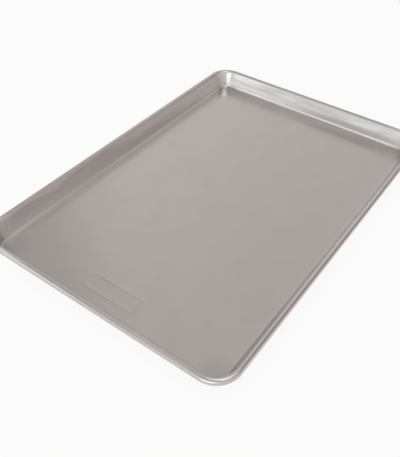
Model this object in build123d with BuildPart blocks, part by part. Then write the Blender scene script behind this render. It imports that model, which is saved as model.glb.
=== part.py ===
from build123d import *
from math import acos, cos, degrees, radians, sin, tan
import os

# Jelly roll pan: a shallow tray drawn from one aluminium sheet, with its edge rolled round a wire.
# The origin is in the middle of the floor's underside. X runs across, Y along and Z up.

# The hollow, measured between the rims and from the top of the rim down to the floor.
inside_length = 393.7
inside_width = 266.7
depth = 19.05

# The sheet, and the wire that stiffens its edge.
sheet_thickness = 1.0
wire_diameter = 4.0
wire_clearance = 0.2
wire_joint_gap = 0.5

# The drawn shape. The corner radius is seen from above, where the wall's face meets the floor.
# The fillet there is inside the hollow, and the wall leans out by this many degrees.
foot_corner_radius = 11.6
floor_fillet = 3.0
wall_lean = 20
curl_gap = 0.3

# The rim is a round bead: the wire, its clearance and the sheet rolled over both.
bead_radius = wire_diameter / 2 + wire_clearance + sheet_thickness
bead_height = sheet_thickness + depth - bead_radius
bead_x = inside_width / 2 + bead_radius
bead_y = inside_length / 2 + bead_radius

# The wall leaves the bead at a tangent and meets the floor this far inside the bead's centre.
lean = radians(wall_lean)
wall_rise = bead_height - sheet_thickness + bead_radius * sin(lean)
foot_inset = bead_radius * cos(lean) + wall_rise * tan(lean)
foot = Vector(bead_x - foot_inset, sheet_thickness)
bead_corner_radius = foot_corner_radius + foot_inset

# The curl stops where the edge of the sheet is this gap away from the wall that it turns back to.
curl_open_angle = degrees(acos((bead_radius - sheet_thickness - curl_gap) / bead_radius))

os.makedirs("parts", exist_ok=True)

# The sheet. Its section follows the upper face over the bead and down the wall to the floor, and
# the sheet's thickness lies on the other side. Swept round one half of the pan, it is mirrored
# to the other half, and the flat of the floor fills the middle.
with BuildPart() as pan_body:
    with BuildSketch(Plane.XZ) as section:
        with BuildLine():
            curl = CenterArc((bead_x, bead_height), bead_radius, 180 - wall_lean, curl_open_angle - 360)
            offset(amount=sheet_thickness, side=Side.RIGHT)
        make_face()
        with BuildLine():
            FilletPolyline(curl @ 0, foot, foot - (floor_fillet, 0), radius=floor_fillet)
            offset(amount=sheet_thickness, side=Side.LEFT)
        make_face()
    with BuildLine(Plane.XY.offset(bead_height)) as half_rim:
        FilletPolyline(
            (bead_x, 0),
            (bead_x, bead_y),
            (-bead_x, bead_y),
            (-bead_x, 0),
            radius=bead_corner_radius,
        )
    sweep(sections=section.sketch, path=half_rim.line)
    mirror(about=Plane.XZ)
    with BuildSketch():
        flat_inset = foot_inset + floor_fillet
        RectangleRounded(
            2 * (bead_x - flat_inset),
            2 * (bead_y - flat_inset),
            radius=bead_corner_radius - flat_inset,
        )
    extrude(amount=sheet_thickness)

pan_body.part.label = "pan_body"
export_step(pan_body.part, "parts/pan_body.step")

# The wire runs round inside the curl, and its two ends meet in the middle of a long side.
with BuildPart() as rim_wire:
    with BuildLine(Plane.XY.offset(bead_height)) as wire_line:
        FilletPolyline(
            (bead_x, wire_joint_gap / 2),
            (bead_x, bead_y),
            (-bead_x, bead_y),
            (-bead_x, -bead_y),
            (bead_x, -bead_y),
            (bead_x, -wire_joint_gap / 2),
            radius=bead_corner_radius,
        )
    with BuildSketch(wire_line.line ^ 0):
        Circle(wire_diameter / 2)
    sweep(path=wire_line.line)

rim_wire.part.label = "rim_wire"
export_step(rim_wire.part, "parts/rim_wire.step")
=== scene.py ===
from math import cos, pi, radians, sin, tan

import bmesh
import bpy
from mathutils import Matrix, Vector, noise
from mathutils.geometry import delaunay_2d_cdt


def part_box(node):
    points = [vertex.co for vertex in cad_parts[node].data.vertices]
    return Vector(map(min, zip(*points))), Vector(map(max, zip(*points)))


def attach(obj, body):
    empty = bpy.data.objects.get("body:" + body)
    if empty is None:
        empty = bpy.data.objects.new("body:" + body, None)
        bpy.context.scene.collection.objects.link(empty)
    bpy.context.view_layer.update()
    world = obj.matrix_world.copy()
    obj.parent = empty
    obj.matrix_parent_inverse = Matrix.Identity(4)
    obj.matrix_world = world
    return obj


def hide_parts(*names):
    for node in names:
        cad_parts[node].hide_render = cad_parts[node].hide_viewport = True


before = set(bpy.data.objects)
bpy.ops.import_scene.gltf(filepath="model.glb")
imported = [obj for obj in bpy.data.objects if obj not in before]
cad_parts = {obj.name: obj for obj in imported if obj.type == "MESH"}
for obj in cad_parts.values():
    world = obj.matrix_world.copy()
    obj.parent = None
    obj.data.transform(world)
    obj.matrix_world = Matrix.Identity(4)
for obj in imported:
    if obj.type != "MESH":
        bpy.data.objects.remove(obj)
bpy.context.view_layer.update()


# The pan's sheet. One piece of natural aluminium, 1 mm thick, drawn over a punch into a shallow
# tray. Its edge is then rolled outward and under, round the rim wire, into an even bead.

low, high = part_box("pan_body")

SHEET = 0.0010
WIRE = 0.0040
WIRE_CLEARANCE = 0.0002
FOOT_CORNER = 0.0116
FILLET = 0.0030
LEAN = radians(20)
CURL_OPENING = radians(53.6)

BEAD = WIRE / 2 + WIRE_CLEARANCE + SHEET
BEAD_HEIGHT = high.z - BEAD
WALL_RISE = BEAD_HEIGHT - SHEET + BEAD * sin(LEAN)
FOOT_INSET = BEAD * cos(LEAN) + WALL_RISE * tan(LEAN)
RIM_WIDTH = high.x - low.x - 2 * BEAD
RIM_LENGTH = high.y - low.y - 2 * BEAD

# How many steps each stretch of the section takes, and each corner of the rim.
FLAT_STEPS = 2
INNER_FILLET_STEPS = 10
OUTER_FILLET_STEPS = 8
INNER_WALL_STEPS = 18
OUTER_WALL_STEPS = 10
BEAD_STEPS = 48
CURL_STEPS = 28
CORNER_STEPS = 16
RIM_STEP = 0.004


def arc(centre, radius, start, end, steps):
    """Points round part of a circle, with both ends."""
    turns = [start + (end - start) * step / steps for step in range(steps + 1)]
    return [Vector((centre[0] + radius * cos(a), centre[1] + radius * sin(a))) for a in turns]


def between(first, last, steps):
    """Points along a straight line, without its ends."""
    return [first.lerp(last, step / steps) for step in range(1, steps)]


def sheet_section():
    """The sheet cut across, about the bead's centre: x out of the pan, y up. The second list is
    how much of the wall's bow and ripple each point takes, which is none on the floor and bead."""
    floor = SHEET - BEAD_HEIGHT
    foot = Vector((-FOOT_INSET, floor))
    tangent = FILLET * tan((pi / 2 - LEAN) / 2)
    hub = (foot.x - tangent, floor + FILLET)
    inner_fillet = arc(hub, FILLET, -pi / 2, -LEAN, INNER_FILLET_STEPS)
    outer_fillet = arc(hub, FILLET + SHEET, -LEAN, -pi / 2, OUTER_FILLET_STEPS)
    bead_face = arc((0, 0), BEAD, pi - LEAN, CURL_OPENING - pi - LEAN, BEAD_STEPS)
    curl_inside = arc((0, 0), BEAD - SHEET, CURL_OPENING - pi - LEAN, pi - LEAN, CURL_STEPS)
    edge = foot - Vector((FILLET, 0))
    upper = [edge] + between(edge, inner_fillet[0], FLAT_STEPS) + inner_fillet
    upper += between(inner_fillet[-1], bead_face[0], INNER_WALL_STEPS) + bead_face
    lower = curl_inside + between(curl_inside[-1], outer_fillet[0], OUTER_WALL_STEPS) + outer_fillet
    below = edge - Vector((0, SHEET))
    faces = upper + lower + between(outer_fillet[-1], below, FLAT_STEPS) + [below]
    wall = [upper.index(inner_fillet[-1]), upper.index(bead_face[0])]
    wall += [len(upper) + lower.index(curl_inside[-1]), len(upper) + lower.index(outer_fillet[0])]
    shares = [0.0] * len(faces)
    for first, last in (wall[:2], wall[2:]):
        for place in range(first, last):
            shares[place] = sin(pi * (place - first) / (last - first))
    return faces, shares


def add_node(tree, kind, inputs=None, **settings):
    """Adds one node. An input is a value, or the socket that feeds it, and its key is the socket's
    name or number. A Mix node's factor is number 0 there, and its colours are 6 and 7."""
    node = tree.nodes.new(kind)
    for name, value in settings.items():
        setattr(node, name, value)
    for name, value in (inputs or {}).items():
        if isinstance(value, bpy.types.NodeSocket):
            tree.links.new(value, node.inputs[name])
        else:
            node.inputs[name].default_value = value
    return node


def linear(code):
    """An sRGB hex colour as linear red, green and blue, with alpha."""
    shares = [int(code[place:place + 2], 16) / 255 for place in (1, 3, 5)]
    bent = [s / 12.92 if s <= 0.04045 else ((s + 0.055) / 1.055) ** 2.4 for s in shares]
    return (*bent, 1)


CLEAN_METAL = "#D7D6D4"
DULL_METAL = "#D4D3D1"
# The next colour is painted sheen on the end walls.
SHEEN_PAINTED_METAL = "#EBEAE8"
# The next colour is a painted highlight on the fillet.
HIGHLIGHT_PAINTED_METAL = "#F4F3F1"
# The next colour is painted shade in the floor's corners.
SHADE_PAINTED_METAL = "#C6C5C3"

# How large the marks on it are. Rolling lines are really about 0.1 mm apart, too fine to show, so
# they are drawn 1.2 mm wide.
ROLLING_LINE = (0.00119, 0.119, 0.119)
DRAWN_STREAK = (0.04, 0.04, 0.002)
SHEEN_PATCH = (0.05, 0.05, 0.005)
ROLLER_LINE = (0.0004, 0.0004, 0.0004)
CLOUD = 0.0294
SCUFF_SPACING = 0.0333
SCUFF_WIDTH = 0.0004
SCUFF_BEND = 0.111
SCUFF_SWERVE = (0.06, 0.06, 0.06)
SCUFFED_PATCH = 0.0476
LINE_DEPTH = 0.0000025

# From which value of a noise up a place is marked at all, and from which it is marked in full.
SHEEN_FROM = (0.46, 0.56)
CLOUDY_FROM = (0.3, 0.7)
SCUFFED_FROM = (0.52, 0.62)

# The heights between which the floor's finish gives way to the wall's, the painted sheen sets in,
# and the wall gives way to the bead.
FLOOR_TO_WALL = (0.0015, 0.005)
UPPER_WALL = (0.006, 0.012)
WALL_TO_BEAD = (0.0135, 0.0175)

# The fillet's painted highlight is full up to one distance from its centre on the section, and
# gone past another. The duller corners begin at a place of the floor, and take this distance each
# way to be full.
HIGHLIGHT_REACH = (0.0005, 0.0022)
CORNER_START = (0.096, 0.159, 0)
CORNER_REACH = 0.026

# The roughness of a plain wall, and what a corner adds to it on the walls and on the floor.
WALL_ROUGHNESS = 0.17
WALL_CORNER_ROUGHNESS = 0.08
FLOOR_CORNER_ROUGHNESS = 0.03


def satin_aluminium(highlight_centre):
    """Natural aluminium sheet with the mill's own finish, then drawn. It gives a soft grey sheen
    with straight rolling lines along the pan and long level streaks round the walls. The end walls
    carry painted sheen in patches, the fillet a painted highlight, and the bead is brighter. The
    corners are duller, and the floor's corners carry painted shade."""
    material = bpy.data.materials.new("satin_aluminium")
    material.use_nodes = True
    tree = material.node_tree
    shader = tree.nodes["Principled BSDF"]
    place = add_node(tree, "ShaderNodeTexCoord").outputs["Object"]
    height = add_node(tree, "ShaderNodeSeparateXYZ", {0: place}).outputs["Z"]
    kept = {name: add_node(tree, "ShaderNodeAttribute", attribute_name=name)
            for name in ("rim_place", "section_place", "wall_share", "end_share")}
    section_place = kept["section_place"].outputs["Vector"]
    wall_share = kept["wall_share"].outputs["Fac"]
    end_share = kept["end_share"].outputs["Fac"]

    # The mill leaves straight rolling lines along the sheet.
    lines = add_node(tree, "ShaderNodeVectorMath", {0: place, 1: ROLLING_LINE}, operation="DIVIDE")
    rolled = add_node(tree, "ShaderNodeTexNoise",
                      {"Vector": lines.outputs[0], "Scale": 1, "Detail": 3}).outputs["Fac"]

    # Drawing leaves long shallow streaks round the walls, level with the rim.
    section = add_node(tree, "ShaderNodeSeparateXYZ", {0: section_place})
    rim = add_node(tree, "ShaderNodeSeparateXYZ", {0: kept["rim_place"].outputs["Vector"]})
    wall_place = add_node(tree, "ShaderNodeCombineXYZ",
                          {"X": rim.outputs["X"], "Y": rim.outputs["Y"], "Z": section.outputs["Y"]})
    level = add_node(tree, "ShaderNodeVectorMath", {0: wall_place.outputs[0], 1: DRAWN_STREAK},
                     operation="DIVIDE")
    streaks = add_node(tree, "ShaderNodeTexNoise",
                       {"Vector": level.outputs[0], "Scale": 1, "Detail": 3})
    drawn = add_node(tree, "ShaderNodeMath", {0: streaks.outputs["Fac"], 1: wall_share},
                     operation="MULTIPLY").outputs[0]

    # Painted sheen: the end walls are painted lighter in patches, above all in their upper half.
    patches = add_node(tree, "ShaderNodeVectorMath", {0: wall_place.outputs[0], 1: SHEEN_PATCH},
                       operation="DIVIDE")
    sheen_noise = add_node(tree, "ShaderNodeTexNoise",
                       {"Vector": patches.outputs[0], "Scale": 1, "Detail": 2})
    upper_wall = add_node(tree, "ShaderNodeMapRange",
                          {"Value": height, "From Min": UPPER_WALL[0], "From Max": UPPER_WALL[1]})
    painted_sheen = add_node(tree, "ShaderNodeMapRange",
                         {"Value": sheen_noise.outputs["Fac"], "From Min": SHEEN_FROM[0],
                          "From Max": SHEEN_FROM[1]}).outputs[0]
    for share in (upper_wall.outputs[0], wall_share, end_share):
        painted_sheen = add_node(tree, "ShaderNodeMath", {0: painted_sheen, 1: share},
                             operation="MULTIPLY").outputs[0]

    # The rim roller leaves bright lines round the bead.
    bead = add_node(tree, "ShaderNodeMapRange",
                    {"Value": height, "From Min": WALL_TO_BEAD[0], "From Max": WALL_TO_BEAD[1]},
                    interpolation_type="SMOOTHSTEP").outputs[0]
    round_bead = add_node(tree, "ShaderNodeVectorMath", {0: section_place, 1: ROLLER_LINE},
                          operation="DIVIDE")
    roller = add_node(tree, "ShaderNodeTexNoise",
                      {"Vector": round_bead.outputs[0], "Scale": 1, "Detail": 1})
    rollered = add_node(tree, "ShaderNodeMath", {0: roller.outputs["Fac"], 1: bead},
                        operation="MULTIPLY").outputs[0]

    # Handling and oil leave cloudy patches, slightly duller and darker.
    clouds = add_node(tree, "ShaderNodeTexNoise",
                      {"Vector": place, "Scale": 1 / CLOUD, "Detail": 3, "Distortion": 0.6})
    dull = add_node(tree, "ShaderNodeMapRange",
                    {"Value": clouds.outputs["Fac"], "From Min": CLOUDY_FROM[0],
                     "From Max": CLOUDY_FROM[1]}).outputs[0]

    # Rubbing leaves a few hairline scuffs in all directions.
    bends = add_node(tree, "ShaderNodeTexNoise",
                     {"Vector": place, "Scale": 1 / SCUFF_BEND, "Detail": 0})
    swirl = add_node(tree, "ShaderNodeVectorMath",
                     {0: bends.outputs["Color"], 1: SCUFF_SWERVE, 2: place},
                     operation="MULTIPLY_ADD")
    cells = add_node(tree, "ShaderNodeTexVoronoi",
                     {"Vector": swirl.outputs[0], "Scale": 1 / SCUFF_SPACING},
                     feature="DISTANCE_TO_EDGE")
    scuffs = add_node(tree, "ShaderNodeMapRange",
                      {"Value": cells.outputs["Distance"], "From Min": 0,
                       "From Max": SCUFF_WIDTH / SCUFF_SPACING, "To Min": 1, "To Max": 0})
    rubbed = add_node(tree, "ShaderNodeTexNoise",
                      {"Vector": place, "Scale": 1 / SCUFFED_PATCH, "Detail": 1})
    some = add_node(tree, "ShaderNodeMapRange",
                    {"Value": rubbed.outputs["Fac"], "From Min": SCUFFED_FROM[0],
                     "From Max": SCUFFED_FROM[1]})
    scuffed = add_node(tree, "ShaderNodeMath", {0: scuffs.outputs[0], 1: some.outputs[0]},
                       operation="MULTIPLY").outputs[0]

    # Painted highlight: the fillet is painted lighter near one place, most on the end walls.
    from_highlight = add_node(tree, "ShaderNodeVectorMath", {0: section_place, 1: highlight_centre},
                         operation="DISTANCE")
    highlight_mask = add_node(tree, "ShaderNodeMapRange",
                     {"Value": from_highlight.outputs["Value"], "From Min": HIGHLIGHT_REACH[0],
                      "From Max": HIGHLIGHT_REACH[1], "To Min": 1, "To Max": 0},
                     interpolation_type="SMOOTHSTEP")
    painted_highlight = add_node(tree, "ShaderNodeMath", {0: highlight_mask.outputs[0], 1: end_share},
                        operation="MULTIPLY").outputs[0]

    # Sheet that gathers in the corners comes out duller there.
    spread = add_node(tree, "ShaderNodeVectorMath", {0: place}, operation="ABSOLUTE")
    past_start = add_node(tree, "ShaderNodeVectorMath", {0: spread.outputs[0], 1: CORNER_START},
                          operation="SUBTRACT")
    both_ways = add_node(tree, "ShaderNodeSeparateXYZ", {0: past_start.outputs[0]})
    across, along = [
        add_node(tree, "ShaderNodeMapRange",
                 {"Value": both_ways.outputs[axis], "From Min": 0, "From Max": CORNER_REACH},
                 interpolation_type="SMOOTHSTEP").outputs[0]
        for axis in ("X", "Y")
    ]
    gathered = add_node(tree, "ShaderNodeMath", {0: across, 1: along},
                        operation="MULTIPLY").outputs[0]

    # The floor keeps the mill's duller finish, because the die didn't stretch it. Its corners are
    # painted darker, which is painted shade, and are smoother than the walls' corners.
    on_floor = add_node(tree, "ShaderNodeMapRange",
                        {"Value": height, "From Min": FLOOR_TO_WALL[0],
                         "From Max": FLOOR_TO_WALL[1], "To Min": 1, "To Max": 0},
                        interpolation_type="SMOOTHSTEP").outputs[0]
    painted_corner_shade = add_node(tree, "ShaderNodeMath", {0: gathered, 1: on_floor},
                    operation="MULTIPLY").outputs[0]
    corner_rough = add_node(tree, "ShaderNodeMath",
                            {0: on_floor, 1: FLOOR_CORNER_ROUGHNESS - WALL_CORNER_ROUGHNESS,
                             2: WALL_CORNER_ROUGHNESS}, operation="MULTIPLY_ADD").outputs[0]

    # What each mark adds to the roughness, what it adds to the height of the rolling lines as a
    # multiple of theirs, and the colour that it turns the metal to.
    rough = WALL_ROUGHNESS
    for mark, share in ((on_floor, 0.04), (rolled, 0.03), (dull, 0.012), (scuffed, 0.02),
                        (bead, -0.03), (gathered, corner_rough)):
        rough = add_node(tree, "ShaderNodeMath", {0: mark, 1: share, 2: rough},
                         operation="MULTIPLY_ADD").outputs[0]
    relief = rolled
    for mark, share in ((drawn, 6), (rollered, 0.8), (scuffed, -0.3)):
        relief = add_node(tree, "ShaderNodeMath", {0: mark, 1: share, 2: relief},
                          operation="MULTIPLY_ADD").outputs[0]
    # Three of these colours are painted light: sheen on the end walls, a highlight on the fillet and
    # shade in the floor's corners.
    tint = linear(CLEAN_METAL)
    for mark, colour in ((dull, DULL_METAL), (painted_sheen, SHEEN_PAINTED_METAL),
                         (painted_highlight, HIGHLIGHT_PAINTED_METAL), (painted_corner_shade, SHADE_PAINTED_METAL)):
        tint = add_node(tree, "ShaderNodeMix", {0: mark, 6: tint, 7: linear(colour)},
                        data_type="RGBA").outputs[2]

    bump = add_node(tree, "ShaderNodeBump", {"Height": relief, "Strength": 1, "Distance": LINE_DEPTH})
    tree.links.new(tint, shader.inputs["Base Color"])
    tree.links.new(rough, shader.inputs["Roughness"])
    tree.links.new(bump.outputs[0], shader.inputs["Normal"])
    shader.inputs["Metallic"].default_value = 1
    return material


def drawn_wall_tree():
    """Geometry Nodes: the section goes once round the rim, and the walls get their bow and their
    faint ripple. The material finds its place on the sheet by the attributes that are stored."""
    tree = bpy.data.node_groups.new("drawn_wall", "GeometryNodeTree")
    tree.interface.new_socket("Section", in_out="INPUT", socket_type="NodeSocketGeometry")
    for name in ("Rim width", "Rim length", "Corner radius", "Rim height", "Spacing", "End bow",
                 "Side bow", "Ripple", "Ripple length", "Ripple height"):
        tree.interface.new_socket(name, in_out="INPUT", socket_type="NodeSocketFloat")
    tree.interface.new_socket("Corner steps", in_out="INPUT", socket_type="NodeSocketInt")
    tree.interface.new_socket("Finish", in_out="INPUT", socket_type="NodeSocketMaterial")
    tree.interface.new_socket("Sheet", in_out="OUTPUT", socket_type="NodeSocketGeometry")
    given = add_node(tree, "NodeGroupInput").outputs

    # The rim's line: a rectangle with rounded corners, its straight sides cut into short steps.
    loop = add_node(tree, "GeometryNodeCurvePrimitiveQuadrilateral",
                    {"Width": given["Rim width"], "Height": given["Rim length"]})
    rounded = add_node(tree, "GeometryNodeFilletCurve",
                       {"Curve": loop.outputs[0], "Count": given["Corner steps"],
                        "Radius": given["Corner radius"]}, mode="POLY")
    index = add_node(tree, "GeometryNodeInputIndex")
    here = add_node(tree, "GeometryNodeInputPosition")
    following = add_node(tree, "GeometryNodeOffsetPointInCurve",
                         {"Point Index": index.outputs[0], "Offset": 1})
    there = add_node(tree, "GeometryNodeFieldAtIndex",
                     {"Index": following.outputs["Point Index"], "Value": here.outputs[0]},
                     data_type="FLOAT_VECTOR")
    length = add_node(tree, "ShaderNodeVectorMath",
                      {0: here.outputs[0], 1: there.outputs[0]}, operation="DISTANCE")
    cuts = add_node(tree, "ShaderNodeMath",
                    {0: length.outputs["Value"], 1: given["Spacing"]}, operation="DIVIDE")
    path = add_node(tree, "GeometryNodeSubdivideCurve",
                    {"Curve": rounded.outputs[0], "Cuts": cuts.outputs[0]})
    upright = add_node(tree, "GeometryNodeSetCurveNormal", {"Curve": path.outputs[0]}, mode="Z_UP")

    # Each point keeps where it lies on the rim's line, which way is outward there, how far it
    # belongs to an end wall, its place in the section and its share of the ripple.
    sideways = add_node(tree, "GeometryNodeInputNormal")
    rim = add_node(tree, "GeometryNodeCaptureAttribute", {"Geometry": upright.outputs[0]})
    rim.capture_items.new("VECTOR", "Sideways")
    tree.links.new(sideways.outputs[0], rim.inputs["Sideways"])
    outward = add_node(tree, "ShaderNodeSeparateXYZ", {0: sideways.outputs[0]})
    endways = add_node(tree, "ShaderNodeMath", {0: outward.outputs["Y"]}, operation="ABSOLUTE")
    rim_place = add_node(tree, "GeometryNodeStoreNamedAttribute",
                         {"Geometry": rim.outputs["Geometry"], "Name": "rim_place",
                          "Value": here.outputs[0]}, data_type="FLOAT_VECTOR")
    end_share = add_node(tree, "GeometryNodeStoreNamedAttribute",
                         {"Geometry": rim_place.outputs[0], "Name": "end_share",
                          "Value": endways.outputs[0]}, data_type="FLOAT")
    share = add_node(tree, "GeometryNodeInputRadius")
    section = add_node(tree, "GeometryNodeCaptureAttribute", {"Geometry": given["Section"]})
    section.capture_items.new("FLOAT", "Share")
    tree.links.new(share.outputs[0], section.inputs["Share"])
    section_place = add_node(tree, "GeometryNodeStoreNamedAttribute",
                             {"Geometry": section.outputs["Geometry"], "Name": "section_place",
                              "Value": here.outputs[0]}, data_type="FLOAT_VECTOR")
    wall_share = add_node(tree, "GeometryNodeStoreNamedAttribute",
                          {"Geometry": section_place.outputs[0], "Name": "wall_share",
                           "Value": section.outputs["Share"]}, data_type="FLOAT")
    swept = add_node(tree, "GeometryNodeCurveToMesh",
                     {"Curve": end_share.outputs[0], "Profile Curve": wall_share.outputs[0]})
    rise = add_node(tree, "ShaderNodeCombineXYZ", {"Z": given["Rim height"]})
    lifted = add_node(tree, "GeometryNodeSetPosition",
                      {"Geometry": swept.outputs[0], "Offset": rise.outputs[0]})

    # The walls bow inward a little and ripple, most at half their height.
    waves = add_node(tree, "ShaderNodeCombineXYZ",
                     {"X": given["Ripple length"], "Y": given["Ripple length"],
                      "Z": given["Ripple height"]})
    spot = add_node(tree, "ShaderNodeVectorMath", {0: here.outputs[0], 1: waves.outputs[0]},
                    operation="DIVIDE")
    unevenness = add_node(tree, "ShaderNodeTexNoise",
                          {"Vector": spot.outputs[0], "Scale": 1, "Detail": 1},
                          noise_dimensions="3D")
    either_way = add_node(tree, "ShaderNodeMath", {0: unevenness.outputs["Fac"], 1: 0.5},
                          operation="SUBTRACT")
    facing = add_node(tree, "ShaderNodeSeparateXYZ", {0: rim.outputs["Sideways"]})
    endwise = add_node(tree, "ShaderNodeMath", {0: facing.outputs["Y"]}, operation="ABSOLUTE")
    bow = add_node(tree, "ShaderNodeMapRange",
                   {"Value": endwise.outputs[0], "From Min": 0, "From Max": 1,
                    "To Min": given["Side bow"], "To Max": given["End bow"]})
    push = add_node(tree, "ShaderNodeMath",
                    {0: either_way.outputs[0], 1: given["Ripple"], 2: bow.outputs[0]},
                    operation="MULTIPLY_ADD")
    taken = add_node(tree, "ShaderNodeMath", {0: push.outputs[0], 1: section.outputs["Share"]},
                     operation="MULTIPLY")
    shift = add_node(tree, "ShaderNodeVectorMath",
                     {0: rim.outputs["Sideways"], "Scale": taken.outputs[0]}, operation="SCALE")
    rippled = add_node(tree, "GeometryNodeSetPosition",
                       {"Geometry": lifted.outputs[0], "Offset": shift.outputs[0]})
    real = add_node(tree, "GeometryNodeRealizeInstances", {"Geometry": rippled.outputs[0]})
    finished = add_node(tree, "GeometryNodeSetMaterial",
                        {"Geometry": real.outputs[0], "Material": given["Finish"]})
    add_node(tree, "NodeGroupOutput", {"Sheet": finished.outputs[0]})
    return tree


def grown(tree, base, name, values):
    """A plain mesh object of what the tree makes from the base object, which goes."""
    modifier = base.modifiers.new("tree", "NODES")
    modifier.node_group = tree
    for item in tree.interface.items_tree:
        if item.in_out == "INPUT" and item.name in values:
            modifier[item.identifier] = values[item.name]
    base.update_tag()
    bpy.context.view_layer.update()
    found = base.evaluated_get(bpy.context.evaluated_depsgraph_get())
    mesh = bpy.data.meshes.new_from_object(found)
    bpy.data.objects.remove(base)
    piece = bpy.data.objects.new(name, mesh)
    bpy.context.scene.collection.objects.link(piece)
    return piece


def section_curve(name, points, shares):
    """A curve object of straight stretches through the points, whose radius carries each point's
    share of the ripple. The sweep turns y over, so it is turned here as well."""
    curve = bpy.data.curves.new(name, "CURVE")
    curve.dimensions = "3D"
    spline = curve.splines.new("POLY")
    spline.points.add(len(points) - 1)
    for place, point, share in zip(spline.points, points, shares):
        place.co = (point.x, -point.y, 0, 1)
        place.radius = share
    base = bpy.data.objects.new(name, curve)
    bpy.context.scene.collection.objects.link(base)
    return base


# A negative bow goes inward.
END_BOW = -0.00045
SIDE_BOW = -0.0001
WALL_RIPPLE = 0.0007
RIPPLE_LENGTH = 0.032
RIPPLE_HEIGHT = 0.03

# The fillet's painted highlight is centred a little above the fillet's middle.
points, shares = sheet_section()
highlight_place = points[FLAT_STEPS + INNER_FILLET_STEPS * 3 // 5]
aluminium = satin_aluminium((highlight_place.x, -highlight_place.y, 0))
pan = grown(drawn_wall_tree(), section_curve("sheet_section", points, shares), "drawn_sheet",
            {"Rim width": RIM_WIDTH, "Rim length": RIM_LENGTH, "Rim height": BEAD_HEIGHT,
             "Corner radius": FOOT_CORNER + FOOT_INSET, "Corner steps": CORNER_STEPS,
             "Spacing": RIM_STEP, "End bow": END_BOW, "Side bow": SIDE_BOW,
             "Ripple": WALL_RIPPLE, "Ripple length": RIPPLE_LENGTH,
             "Ripple height": RIPPLE_HEIGHT, "Finish": aluminium})

# The flat of the floor, with its slight waves.
FLAT_X = RIM_WIDTH / 2 - FOOT_INSET - FILLET
FLAT_Y = RIM_LENGTH / 2 - FOOT_INSET - FILLET
FLOOR_STEP = 0.005
FLOOR_WAVE = 0.00008
WAVE_LENGTH = 0.07
WAVE_FADE = 0.03

# A panel is stamped near the front edge. Here it is a bare field in a plain raised border.
PANEL_X = -0.0015
PANEL_Y = -0.1685
PANEL_LENGTH = 0.057
PANEL_WIDTH = 0.016
PANEL_CORNER = 0.003
BORDER_WIDTH = 0.0018
BORDER_RISE = 0.00008
BORDER_STEP = 0.0012
BORDER_CORNER_STEPS = 6
BORDER_ROWS = 4


def from_border(x, y):
    """How far a place is from the middle of the panel's border."""
    over_x = abs(x - PANEL_X) - PANEL_LENGTH / 2 + PANEL_CORNER
    over_y = abs(y - PANEL_Y) - PANEL_WIDTH / 2 + PANEL_CORNER
    outside = Vector((max(over_x, 0), max(over_y, 0))).length
    return abs(outside + min(max(over_x, over_y), 0) - PANEL_CORNER)


def border_points():
    """Rows of close points along the border, so that its rounded ridge has an even mesh."""
    points = []
    reach_x = PANEL_LENGTH / 2 - PANEL_CORNER
    reach_y = PANEL_WIDTH / 2 - PANEL_CORNER
    for row in range(-BORDER_ROWS, BORDER_ROWS + 1):
        radius = PANEL_CORNER + row * BORDER_WIDTH / 2 / BORDER_ROWS
        loop = []
        for quarter, (side_x, side_y) in enumerate(((1, 1), (-1, 1), (-1, -1), (1, -1))):
            hub = (PANEL_X + side_x * reach_x, PANEL_Y + side_y * reach_y)
            start = quarter * pi / 2
            loop += arc(hub, radius, start, (quarter + 1) * pi / 2, BORDER_CORNER_STEPS)
        for first, last in zip(loop, loop[1:] + loop[:1]):
            steps = max(1, round((last - first).length / BORDER_STEP))
            points += [first] + between(first, last, steps)
    return points


def floor_rise(x, y):
    """How far the sheet stands above the plain flat, for its border and its slight waves."""
    border = max(0, 1 - 2 * from_border(x, y) / BORDER_WIDTH)
    inside = min(FLAT_X - abs(x), FLAT_Y - abs(y)) / WAVE_FADE
    fade = min(1, max(0, inside))
    wave = 0.5 + 0.5 * noise.noise(Vector((x, y, 0)) / WAVE_LENGTH)
    return BORDER_RISE * sin(border * pi / 2) ** 2 + FLOOR_WAVE * fade * fade * (3 - 2 * fade) * wave


def floor_points(step):
    """Evenly spaced points on the flat of the floor, every other row set over by half a step."""
    rows, columns = int(FLAT_Y / step), int(FLAT_X / step)
    points = [Vector(((x + row % 2 / 2) * step, row * step))
              for row in range(-rows, rows + 1) for x in range(-columns, columns)]
    plain = [p for p in points if abs(p.x) < FLAT_X - step / 2 and abs(p.y) < FLAT_Y - step / 2
             and (FLAT_X - abs(p.x)) + (FLAT_Y - abs(p.y)) > FOOT_CORNER
             and from_border(*p) > BORDER_WIDTH]
    return plain + border_points()


def fill_floor(shell, height, upward, inner_points):
    """Fills the floor's hole at this height with a flat of triangles through the inner points."""
    rim = sorted({v for e in shell.edges if e.is_boundary for v in e.verts
                  if abs(v.co.z - height) < SHEET / 2}, key=lambda v: v.index)
    order = {v: place for place, v in enumerate(rim)}
    sides = [(order[e.verts[0]], order[e.verts[1]]) for e in shell.edges
             if e.is_boundary and e.verts[0] in order and e.verts[1] in order]
    points = [v.co.xy for v in rim] + inner_points
    found, _, faces, sources, _, _ = delaunay_2d_cdt(points, sides, [], 1, SHEET / 1000)
    made = []
    for place, source in zip(found, sources):
        known = [i for i in source if i < len(rim)]
        lifted = (place.x, place.y, height + floor_rise(*place))
        made.append(rim[known[0]] if known else shell.verts.new(lifted))
    for face in faces:
        corners = [made[i] for i in face]
        shell.faces.new(corners if upward else corners[::-1])


# Edges that turn by more than this stay crisp, such as the sheet's cut edge.
CRISP_TURN = radians(40)

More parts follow.
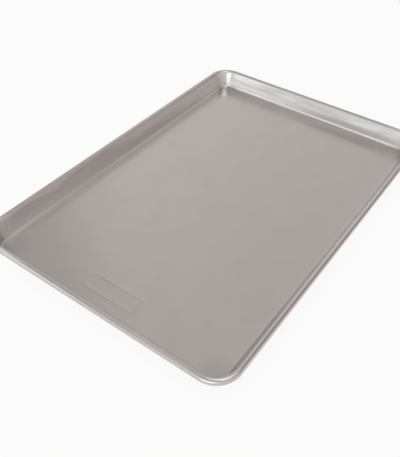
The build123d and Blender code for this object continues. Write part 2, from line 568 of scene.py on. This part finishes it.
shell = bmesh.new()
shell.from_mesh(pan.data)
fill_floor(shell, SHEET, True, floor_points(FLOOR_STEP))
fill_floor(shell, 0, False, floor_points(FLOOR_STEP))
for face in shell.faces:
    face.smooth = True
shell.to_mesh(pan.data)
shell.free()
pan.data.set_sharp_from_angle(angle=CRISP_TURN)
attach(pan, "root")
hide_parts("pan_body")


# The rim wire. Drawn steel, hot-dip galvanised, bent to one loop and closed inside the curl. Only
# its shape counts, which the CAD already has, so the CAD's own wire stays and gets its finish here.

DARK_ZINC = "#B0B5B9"
PALE_ZINC = "#C0C3C5"
ZINC_CRYSTAL = 0.001515
ZINC_GRAIN = 0.0004
GRAIN_DEPTH = 0.000008
ZINC_ROUGHNESS = 0.38
CRYSTAL_ROUGHNESS = 0.14


def galvanised_steel():
    """Zinc-coated wire. It gives the dull, slightly bluish grey of zinc, in small patches where its
    crystals lie each another way, with a fine grain all over."""
    material = bpy.data.materials.new("galvanised_steel")
    material.use_nodes = True
    tree = material.node_tree
    shader = tree.nodes["Principled BSDF"]
    place = add_node(tree, "ShaderNodeTexCoord").outputs["Object"]
    crystals = add_node(tree, "ShaderNodeTexVoronoi", {"Vector": place, "Scale": 1 / ZINC_CRYSTAL})
    crystal = add_node(tree, "ShaderNodeSeparateColor", {0: crystals.outputs["Color"]})
    zinc = add_node(tree, "ShaderNodeMix",
                    {0: crystal.outputs[0], 6: linear(DARK_ZINC), 7: linear(PALE_ZINC)},
                    data_type="RGBA")
    rough = add_node(tree, "ShaderNodeMath",
                     {0: crystal.outputs[1], 1: CRYSTAL_ROUGHNESS, 2: ZINC_ROUGHNESS},
                     operation="MULTIPLY_ADD")
    bloom = add_node(tree, "ShaderNodeTexNoise",
                     {"Vector": place, "Scale": 1 / ZINC_GRAIN, "Detail": 2})
    bump = add_node(tree, "ShaderNodeBump",
                    {"Height": bloom.outputs["Fac"], "Strength": 1, "Distance": GRAIN_DEPTH})
    tree.links.new(zinc.outputs[2], shader.inputs["Base Color"])
    tree.links.new(rough.outputs[0], shader.inputs["Roughness"])
    tree.links.new(bump.outputs[0], shader.inputs["Normal"])
    shader.inputs["Metallic"].default_value = 1
    return material


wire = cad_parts["rim_wire"]
wire.data.materials.clear()
wire.data.materials.append(galvanised_steel())


# The table. A plain pale floor under the pan, which isn't part of it. It is wide enough to fill
# the view, and lies a hair below the pan, so that the two don't flicker.

TABLE_SIZE = 8.0
TABLE_DROP = 0.0001
WHITE_SHARE = 0.9
MIRRORED_SHARE = 0.3


def white_table():
    """Matt white paint. Most of what the camera sees of it is plain white, which keeps the
    background white and the pan's shadow faint. A smaller share of its reflection is plain white."""
    paint = bpy.data.materials.new("white_table")
    paint.use_nodes = True
    tree = paint.node_tree
    shader = tree.nodes["Principled BSDF"]
    shader.inputs["Base Color"].default_value = linear("#FAFAFA")
    shader.inputs["Roughness"].default_value = 0.9
    shader.inputs["Specular IOR Level"].default_value = 0.1
    rays = add_node(tree, "ShaderNodeLightPath").outputs
    mirrored = add_node(tree, "ShaderNodeMath",
                        {0: rays["Is Glossy Ray"], 1: rays["Is Transmission Ray"]},
                        operation="MAXIMUM")
    dimmer = add_node(tree, "ShaderNodeMath", {0: mirrored.outputs[0], 1: MIRRORED_SHARE},
                      operation="MULTIPLY")
    seen = add_node(tree, "ShaderNodeMath", {0: rays["Is Camera Ray"], 1: WHITE_SHARE},
                    operation="MULTIPLY")
    part = add_node(tree, "ShaderNodeMath", {0: seen.outputs[0], 1: dimmer.outputs[0]},
                    operation="MAXIMUM")
    white = add_node(tree, "ShaderNodeEmission", {"Color": linear("#FFFFFF"), "Strength": 1})
    mixed = add_node(tree, "ShaderNodeMixShader",
                     {0: part.outputs[0], 1: shader.outputs[0], 2: white.outputs[0]})
    tree.links.new(mixed.outputs[0], tree.nodes["Material Output"].inputs["Surface"])
    return paint


half = TABLE_SIZE / 2
table = bpy.data.meshes.new("table")
table.from_pydata([(-half, -half, 0), (half, -half, 0), (half, half, 0), (-half, half, 0)], [],
                  [(0, 1, 2, 3)])
table.materials.append(white_table())
floor = bpy.data.objects.new("table", table)
floor.location.z = -TABLE_DROP
bpy.context.scene.collection.objects.link(floor)


# The camera, at the place and with the lens that the rim's four straight edges give.

CAMERA_PLACE = (0.2512, -0.3955, 0.3888)
CAMERA_TURN = (46.94, -0.80, 35.94)
CAMERA_LENS = 45.59
CAMERA_CLIP = 0.01

camera = bpy.data.objects.new("camera", bpy.data.cameras.new("camera"))
camera.location = CAMERA_PLACE
camera.rotation_euler = [radians(turn) for turn in CAMERA_TURN]
camera.data.lens = CAMERA_LENS
camera.data.clip_start = CAMERA_CLIP
bpy.context.scene.collection.objects.link(camera)
bpy.context.scene.camera = camera


# The light. A room with pale walls round the table, and softboxes: neutral ones in front, at both
# sides and straight above, and weaker, warmer ones at the back and high up on the left.

# The room's far side: its level and how that falls off, which way its corner is and how much
# darker the wall beyond it is, and the skirting below.
FAR_LEVEL = 0.697
FAR_SLOPE = (-0.317, 0, -0.303)
FAR_CORNER = (0.616, 0.788, 0)
FAR_CORNER_BLUR = 0.04
FAR_CORNER_SHADE = 0.65
SKIRTING_TOP = (0.1, 0.4)
SKIRTING_SHADE = 0.55

# The room's near side: how much light it adds, and which way it lies. The room is neutral only
# low in front, and a little less pink on the left. Each band runs from where a look doesn't lie
# that way at all to where it fully does, and the left one runs from left to right.
NEAR_LEVEL = 0.48
NEAR_WAY = (0.6, -0.8, -0.7)
NEAR_BAND = (-0.45, 0.15)
FRONT_WAY = (0, -1, -1)
FRONT_BAND = (0, 0.4)
LEFT_BAND = (-0.65, -0.2)

SKIRTING_PAINT = "#FFEEEA"
LEFT_PAINT = "#FFF8F5"
ROOM_PAINT = "#FFF5F3"
NEUTRAL = "#FFFFFF"
WARM = "#FFF6F4"

LAMP_DISTANCE = 1.5

# Each softbox by its azimuth and elevation, how many degrees it spans both ways, its level, where
# 1 is white, and its colour.
SOFTBOXES = {
    "front": (-74, 16, 40, 27, 0.95, NEUTRAL),
    "front_left": (-131, 23, 16, 18, 0.6, NEUTRAL),
    "left": (-167, 31, 24, 32, 1.3, NEUTRAL),
    "right": (0, 63, 36, 30, 0.4, NEUTRAL),
    "back_right": (98, 20, 20, 14, 0.1, WARM),
    "overhead_left": (-144, 65, 36, 18, 0.44, WARM),
    "overhead_back": (82, 53, 16, 36, 0.43, WARM),
    "overhead": (20, 84, 24, 24, 1.5, NEUTRAL),
}


def studio_world():
    """A pale room. Its far side is dimmer, with a corner where two walls meet and a darker, warmer
    skirting. Its near side is lighter, and neutral only low in front."""
    world = bpy.data.worlds.new("studio")
    world.use_nodes = True
    tree = world.node_tree
    way = add_node(tree, "ShaderNodeTexCoord").outputs["Generated"]
    parts = add_node(tree, "ShaderNodeSeparateXYZ", {0: way})

    # How light it is each way.
    slope = add_node(tree, "ShaderNodeVectorMath", {0: way, 1: FAR_SLOPE}, operation="DOT_PRODUCT")
    level = add_node(tree, "ShaderNodeMath", {0: slope.outputs["Value"], 1: FAR_LEVEL},
                     operation="ADD")
    corner = add_node(tree, "ShaderNodeVectorMath", {0: way, 1: FAR_CORNER},
                      operation="DOT_PRODUCT")
    wall = add_node(tree, "ShaderNodeMapRange",
                    {"Value": corner.outputs["Value"], "From Min": -FAR_CORNER_BLUR,
                     "From Max": FAR_CORNER_BLUR, "To Min": FAR_CORNER_SHADE, "To Max": 1},
                    interpolation_type="SMOOTHSTEP")
    skirting = add_node(tree, "ShaderNodeMapRange",
                        {"Value": parts.outputs["Z"], "From Min": SKIRTING_TOP[0],
                         "From Max": SKIRTING_TOP[1], "To Min": SKIRTING_SHADE, "To Max": 1},
                        interpolation_type="SMOOTHSTEP")
    shaded = add_node(tree, "ShaderNodeMath", {0: level.outputs[0], 1: wall.outputs[0]},
                      operation="MULTIPLY")
    far = add_node(tree, "ShaderNodeMath", {0: shaded.outputs[0], 1: skirting.outputs[0]},
                   operation="MULTIPLY")
    side = add_node(tree, "ShaderNodeVectorMath", {0: way, 1: NEAR_WAY}, operation="DOT_PRODUCT")
    near = add_node(tree, "ShaderNodeMapRange",
                    {"Value": side.outputs["Value"], "From Min": NEAR_BAND[0],
                     "From Max": NEAR_BAND[1]},
                    interpolation_type="SMOOTHSTEP")
    total = add_node(tree, "ShaderNodeMath", {0: near.outputs[0], 1: NEAR_LEVEL, 2: far.outputs[0]},
                     operation="MULTIPLY_ADD")

    # Its colour, from the left to the right, over the skirting, and low in front.
    rightward = add_node(tree, "ShaderNodeMapRange",
                         {"Value": parts.outputs["X"], "From Min": LEFT_BAND[0],
                          "From Max": LEFT_BAND[1]})
    over_skirting = add_node(tree, "ShaderNodeMapRange",
                             {"Value": parts.outputs["Z"], "From Min": SKIRTING_TOP[0],
                              "From Max": SKIRTING_TOP[1]})
    low_front = add_node(tree, "ShaderNodeVectorMath", {0: way, 1: FRONT_WAY},
                         operation="DOT_PRODUCT")
    front = add_node(tree, "ShaderNodeMapRange",
                     {"Value": low_front.outputs["Value"], "From Min": FRONT_BAND[0],
                      "From Max": FRONT_BAND[1]})
    room = add_node(tree, "ShaderNodeMix",
                    {0: rightward.outputs[0], 6: linear(LEFT_PAINT), 7: linear(ROOM_PAINT)},
                    data_type="RGBA")
    walls = add_node(tree, "ShaderNodeMix",
                     {0: over_skirting.outputs[0], 6: linear(SKIRTING_PAINT), 7: room.outputs[2]},
                     data_type="RGBA")
    paint = add_node(tree, "ShaderNodeMix",
                     {0: front.outputs[0], 6: walls.outputs[2], 7: linear(NEUTRAL)},
                     data_type="RGBA")
    tree.links.new(paint.outputs[2], tree.nodes["Background"].inputs["Color"])
    tree.links.new(total.outputs[0], tree.nodes["Background"].inputs["Strength"])
    return world


for name, (azimuth, elevation, across, up, level, colour) in SOFTBOXES.items():
    lamp = bpy.data.lights.new(name, "AREA")
    lamp.shape = "RECTANGLE"
    lamp.size = 2 * LAMP_DISTANCE * tan(radians(across) / 2)
    lamp.size_y = 2 * LAMP_DISTANCE * tan(radians(up) / 2)
    lamp.energy = level * pi * lamp.size * lamp.size_y
    lamp.color = linear(colour)[:3]
    holder = bpy.data.objects.new(name, lamp)
    turn, rise = radians(azimuth), radians(elevation)
    way = Vector((cos(rise) * cos(turn), cos(rise) * sin(turn), sin(rise)))
    holder.location = way * LAMP_DISTANCE
    holder.rotation_euler = holder.location.to_track_quat("Z", "Y").to_euler()
    holder.visible_camera = False
    bpy.context.scene.collection.objects.link(holder)

bpy.context.scene.world = studio_world()
bpy.context.scene.view_settings.view_transform = "Standard"
